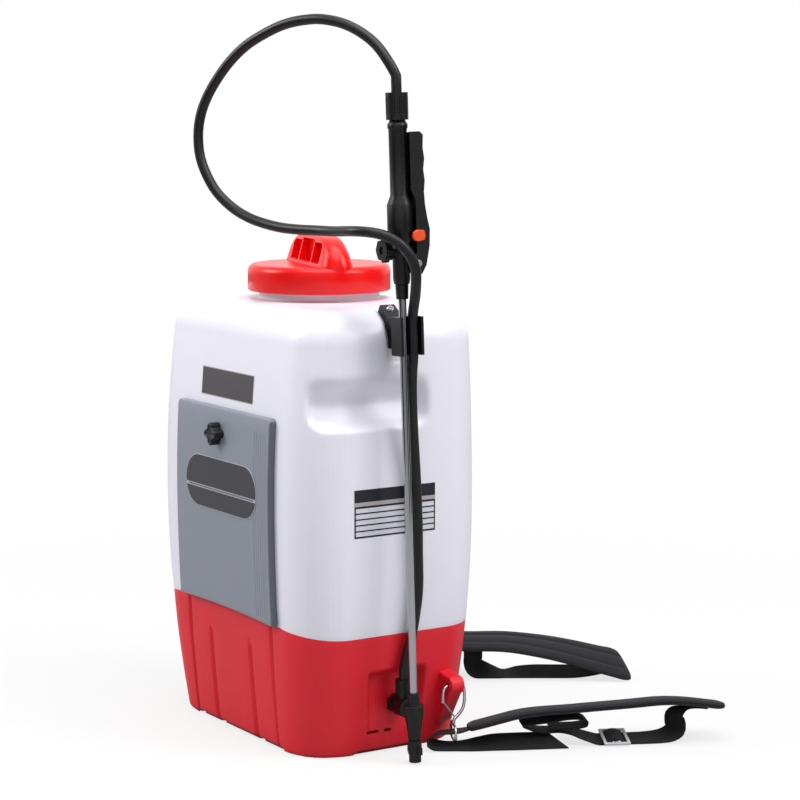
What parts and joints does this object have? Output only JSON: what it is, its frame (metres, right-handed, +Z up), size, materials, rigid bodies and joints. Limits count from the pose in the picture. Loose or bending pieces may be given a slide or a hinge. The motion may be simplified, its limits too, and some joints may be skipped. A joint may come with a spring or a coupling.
{
  "type": "battery backpack sprayer",
  "caption": "Backpack sprayer: white tank on a red pump base with a battery door, screw cap, hose, trigger lance in a side clip and padded shoulder straps.",
  "frame": {"origin": "on the floor under the middle of the base, in the plane of the base plate's underside", "axes": "+Z up, the battery door faces -Y, the lance and hose outlet are on +X, the shoulder straps lie behind on +Y"},
  "size_m": [0.4795, 0.4931, 0.7049],
  "materials": {
    "tank_white": "satin, slightly translucent",
    "base_red": "satin",
    "cap_red": "semi-gloss",
    "cover_grey": "satin",
    "badge_charcoal": "semi-gloss",
    "black_plastic": "satin",
    "hose_rubber": "smooth with a soft sheen",
    "seal_rubber": "matte",
    "suction_rubber": "matte",
    "tube_steel": "polished",
    "wire_steel": "bright",
    "screw_steel": "plated",
    "lock_orange": "semi-gloss",
    "rocker_red": "semi-gloss",
    "pad_fabric": "coated cloth over foam, sewn channels",
    "web_fabric": "woven webbing",
    "buckle_light": "semi-gloss",
    "brass": "machined",
    "battery_case": "matte",
    "motor_metal": "satin",
    "strainer_white": "satin"
  },
  "bodies": {
    "body": {"tank": "tank_white", "base_shell": "base_red", "base_plate": "base_red", "base_screws": "screw_steel", "battery": "battery_case", "tank_outlet": "black_plastic", "suction_hose": "suction_rubber", "pump_head": "black_plastic", "pump_motor": "motor_metal", "pump_mounts": "seal_rubber", "pressure_hose": "hose_rubber", "outlet_elbow": "black_plastic", "outlet_lock_nut": "black_plastic", "outlet_hose_nut": "black_plastic", "switch_body": "black_plastic", "charge_socket": "black_plastic", "lance_clip": "black_plastic", "clip_screw": "screw_steel", "spray_hose": "hose_rubber", "strap_pad_near": "pad_fabric", "strap_pad_far": "pad_fabric", "strap_web_near": "web_fabric", "strap_web_far": "web_fabric", "strap_tail_near": "web_fabric", "strap_tail_far": "web_fabric", "strap_buckle_near": "buckle_light", "strap_buckle_far": "buckle_light"},
    "strainer": {"strainer": "strainer_white"},
    "cap_seal": {"cap_gasket": "seal_rubber"},
    "cap": {"tank_cap": "cap_red", "cap_vent": "seal_rubber"},
    "door": {"battery_cover": "cover_grey", "cover_badge": "badge_charcoal"},
    "latch": {"cover_knob": "black_plastic"},
    "rocker": {"switch_rocker": "rocker_red"},
    "lance": {"handle_body": "black_plastic", "handle_hose_nut": "black_plastic", "handle_filter": "strainer_white", "valve_plug": "black_plastic", "valve_spring": "wire_steel", "trigger_pin": "wire_steel", "lance_nut": "black_plastic", "lance_tube": "tube_steel", "nozzle_body": "black_plastic", "nozzle_seal": "seal_rubber"},
    "trigger": {"trigger_lever": "black_plastic"},
    "lock": {"trigger_lock": "lock_orange"},
    "valve": {"valve_stem": "brass"},
    "nozzle": {"nozzle_cap": "black_plastic"},
    "hook_near": {"strap_hook_near": "wire_steel"},
    "hook_far": {"strap_hook_far": "wire_steel"}
  },
  "joints": [
    {"name": "strainer_lift", "type": "slide", "parent": "body", "child": "strainer", "axis": [0, 0, 1], "range_m": [0, 0.1]},
    {"name": "cap_lift", "type": "slide", "parent": "strainer", "child": "cap_seal", "axis": [0, 0, 1], "range_m": [0, 0.1]},
    {"name": "cap_turn", "type": "hinge", "parent": "cap_seal", "child": "cap", "pos_m": [0, 0.005, 0.45], "axis": [0, 0, 1], "range_deg": [0, 540]},
    {"name": "door_tilt", "type": "hinge", "parent": "body", "child": "door", "pos_m": [0, -0.1088, 0.13], "axis": [1, 0, 0], "range_deg": [0, 70]},
    {"name": "knob_turn", "type": "hinge", "parent": "door", "child": "latch", "pos_m": [0, -0.11066, 0.302], "axis": [0, -1, 0], "continuous": true},
    {"name": "switch_rock", "type": "hinge", "parent": "body", "child": "rocker", "pos_m": [-0.14207, -0.012, 0.047], "axis": [0, 1, 0], "range_deg": [0, 16]},
    {"name": "lance_unclip", "type": "slide", "parent": "body", "child": "lance", "axis": [0.9998, 0, 0.0175], "range_m": [0, 0.04], "deforming": ["spray_hose"]},
    {"name": "trigger_pull", "type": "hinge", "parent": "lance", "child": "trigger", "pos_m": [0.18272, -0.00401, 0.47606], "axis": [0.9998, 0, 0.0175], "range_deg": [0, 3.5], "stiffness_Nm_per_rad": 3, "springref_deg": -2.86},
    {"name": "lock_turn", "type": "hinge", "parent": "trigger", "child": "lock", "pos_m": [0.18227, -0.00159, 0.50211], "axis": [0.9998, 0, 0.0175], "range_deg": [0, 45]},
    {"name": "valve_push", "type": "slide", "parent": "lance", "child": "valve", "axis": [0.0004, -0.9998, -0.0222], "range_m": [0, 0.0009], "deforming": ["valve_spring"]},
    {"name": "nozzle_turn", "type": "hinge", "parent": "lance", "child": "nozzle", "pos_m": [0.19083, -0.00472, 0.012], "axis": [-0.0174, -0.0222, 0.9996], "continuous": true},
    {"name": "hook_swing_near", "type": "hinge", "parent": "body", "child": "hook_near", "pos_m": [0.163, 0.058, 0.062], "axis": [0, -1, 0], "range_deg": [0, 22], "deforming": ["strap_tail_near"]},
    {"name": "hook_swing_far", "type": "hinge", "parent": "body", "child": "hook_far", "pos_m": [-0.163, 0.058, 0.062], "axis": [0, 1, 0], "range_deg": [0, 22], "deforming": ["strap_tail_far"]}
  ],
  "couplings": [
    {"joint": "valve_push", "follows": "trigger_pull", "m_per_rad": 0.013}
  ]
}
